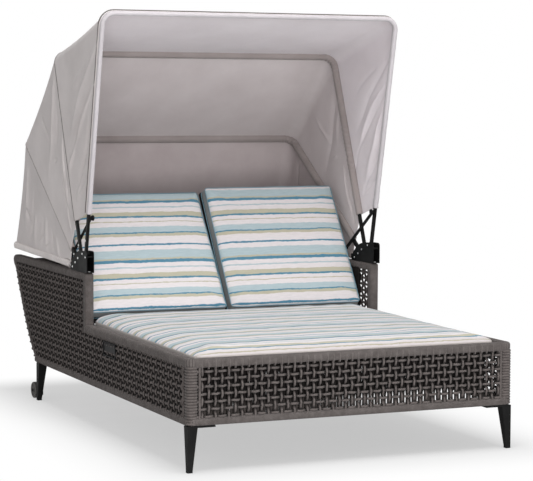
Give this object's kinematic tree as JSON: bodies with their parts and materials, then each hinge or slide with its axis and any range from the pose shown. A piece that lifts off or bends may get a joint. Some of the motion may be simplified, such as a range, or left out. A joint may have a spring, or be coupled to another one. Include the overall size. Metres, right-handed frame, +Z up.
{
  "type": "outdoor daybed with canopy",
  "caption": "Wide rope-wound outdoor daybed with two reclining backs, striped cushions, a folding fabric canopy on hinged bows, tapered legs and transport wheels at the rear.",
  "frame": {"origin": "on the ground under the middle of the whole object's box", "axes": "+Z up, -Y towards the open front where a sitter's feet point, +X towards the back that is raised higher"},
  "size_m": [1.4, 2.2796, 1.7549],
  "materials": {
    "rope_frame": "matte",
    "weave": "matte",
    "black_metal": "satin",
    "bow": "satin",
    "tube": "satin",
    "plastic": "matte",
    "steel": "satin",
    "wheel": "matte",
    "cushion": "matte",
    "canopy": "matte"
  },
  "bodies": {
    "base": {"front_frame": "rope_frame", "front_weave": "weave", "rear_frame": "rope_frame", "rear_weave": "weave", "seat_deck": "tube", "spring_bar": "tube", "seat_cushion": "cushion", "rear_bow": "bow", "right_side_frame": "rope_frame", "right_low_weave": "weave", "right_arm_weave": "weave", "right_front_leg": "black_metal", "right_rear_leg": "black_metal", "right_front_glide": "plastic", "right_rear_glide": "plastic", "right_handle_bezel": "plastic", "right_canopy_bracket": "black_metal", "left_side_frame": "rope_frame", "left_low_weave": "weave", "left_arm_weave": "weave", "left_front_leg": "black_metal", "left_rear_leg": "black_metal", "left_front_glide": "plastic", "left_rear_glide": "plastic", "left_handle_bezel": "plastic", "left_canopy_bracket": "black_metal"},
    "front_bow": {"front_bow": "bow", "canopy_roof": "canopy"},
    "second_bow": {"second_bow": "bow", "canopy_slope": "canopy"},
    "third_bow": {"third_bow": "bow", "canopy_back": "canopy"},
    "right_back": {"right_back_frame": "tube", "right_back_cushion": "cushion"},
    "right_spring_cylinder": {"right_spring_cylinder": "black_metal"},
    "right_spring_rod": {"right_spring_rod": "steel"},
    "right_stay": {"right_stay": "black_metal", "right_stay_knob": "plastic"},
    "right_paddle": {"right_release_paddle": "plastic"},
    "right_wheel": {"right_wheel": "wheel"},
    "left_back": {"left_back_frame": "tube", "left_back_cushion": "cushion"},
    "left_spring_cylinder": {"left_spring_cylinder": "black_metal"},
    "left_spring_rod": {"left_spring_rod": "steel"},
    "left_stay": {"left_stay": "black_metal", "left_stay_knob": "plastic"},
    "left_paddle": {"left_release_paddle": "plastic"},
    "left_wheel": {"left_wheel": "wheel"}
  },
  "joints": [
    {"name": "canopy_fold", "type": "hinge", "parent": "base", "child": "front_bow", "pos_m": [0, 0.08717, 0.729], "axis": [-1, 0, 0], "range_deg": [0, 98.3], "deforming": ["canopy_roof", "canopy_slope", "canopy_back"]},
    {"name": "second_bow_fold", "type": "hinge", "parent": "base", "child": "second_bow", "pos_m": [0, 0.14617, 0.706], "axis": [-1, 0, 0], "range_deg": [0, 63.9]},
    {"name": "third_bow_fold", "type": "hinge", "parent": "base", "child": "third_bow", "pos_m": [0, 0.18317, 0.685], "axis": [-1, 0, 0], "range_deg": [0, 29.4]},
    {"name": "right_back_recline", "type": "hinge", "parent": "base", "child": "right_back", "pos_m": [0.324, 0.14617, 0.402], "axis": [-1, 0, 0], "range_deg": [0, 57.5]},
    {"name": "right_spring_tilt", "type": "hinge", "parent": "base", "child": "right_spring_cylinder", "pos_m": [0.33, 0.20017, 0.24], "axis": [-1, 0, 0], "range_deg": [0, 27.05]},
    {"name": "right_spring_stroke", "type": "slide", "parent": "right_spring_cylinder", "child": "right_spring_rod", "axis": [0, 0.1434, 0.9897], "range_m": [-0.10999, 0]},
    {"name": "right_stay_swing", "type": "hinge", "parent": "base", "child": "right_stay", "pos_m": [0.671, 0.36195, 0.67193], "axis": [-1, 0, 0], "range_deg": [0, 139.5]},
    {"name": "right_paddle_pull", "type": "hinge", "parent": "base", "child": "right_paddle", "pos_m": [0.692, -0.25833, 0.377], "axis": [0, -1, 0], "range_deg": [0, 25], "stiffness_Nm_per_rad": 0.2},
    {"name": "right_wheel_spin", "type": "hinge", "parent": "base", "child": "right_wheel", "pos_m": [0.686, 0.82617, 0.039], "axis": [1, 0, 0], "continuous": true},
    {"name": "left_back_recline", "type": "hinge", "parent": "base", "child": "left_back", "pos_m": [-0.324, 0.14617, 0.402], "axis": [-1, 0, 0], "range_deg": [-4, 53.5]},
    {"name": "left_spring_tilt", "type": "hinge", "parent": "base", "child": "left_spring_cylinder", "pos_m": [-0.33, 0.20017, 0.24], "axis": [-1, 0, 0], "range_deg": [-1.93, 25.13]},
    {"name": "left_spring_stroke", "type": "slide", "parent": "left_spring_cylinder", "child": "left_spring_rod", "axis": [0, 0.1764, 0.9843], "range_m": [-0.1044, 0.0079]},
    {"name": "left_stay_swing", "type": "hinge", "parent": "base", "child": "left_stay", "pos_m": [-0.671, 0.36195, 0.67193], "axis": [-1, 0, 0], "range_deg": [0, 139.5]},
    {"name": "left_paddle_pull", "type": "hinge", "parent": "base", "child": "left_paddle", "pos_m": [-0.692, -0.25833, 0.377], "axis": [0, 1, 0], "range_deg": [0, 25], "stiffness_Nm_per_rad": 0.2},
    {"name": "left_wheel_spin", "type": "hinge", "parent": "base", "child": "left_wheel", "pos_m": [-0.686, 0.82617, 0.039], "axis": [1, 0, 0], "continuous": true}
  ],
  "couplings": [
    {"joint": "second_bow_fold", "follows": "canopy_fold", "ratio": 0.65},
    {"joint": "third_bow_fold", "follows": "canopy_fold", "ratio": 0.299},
    {"joint": "right_spring_tilt", "follows": "right_back_recline", "ratio": 0.4696},
    {"joint": "right_spring_stroke", "follows": "right_back_recline", "m_per_rad": -0.1095},
    {"joint": "left_spring_tilt", "follows": "left_back_recline", "ratio": 0.4688},
    {"joint": "left_spring_stroke", "follows": "left_back_recline", "m_per_rad": -0.1117}
  ]
}
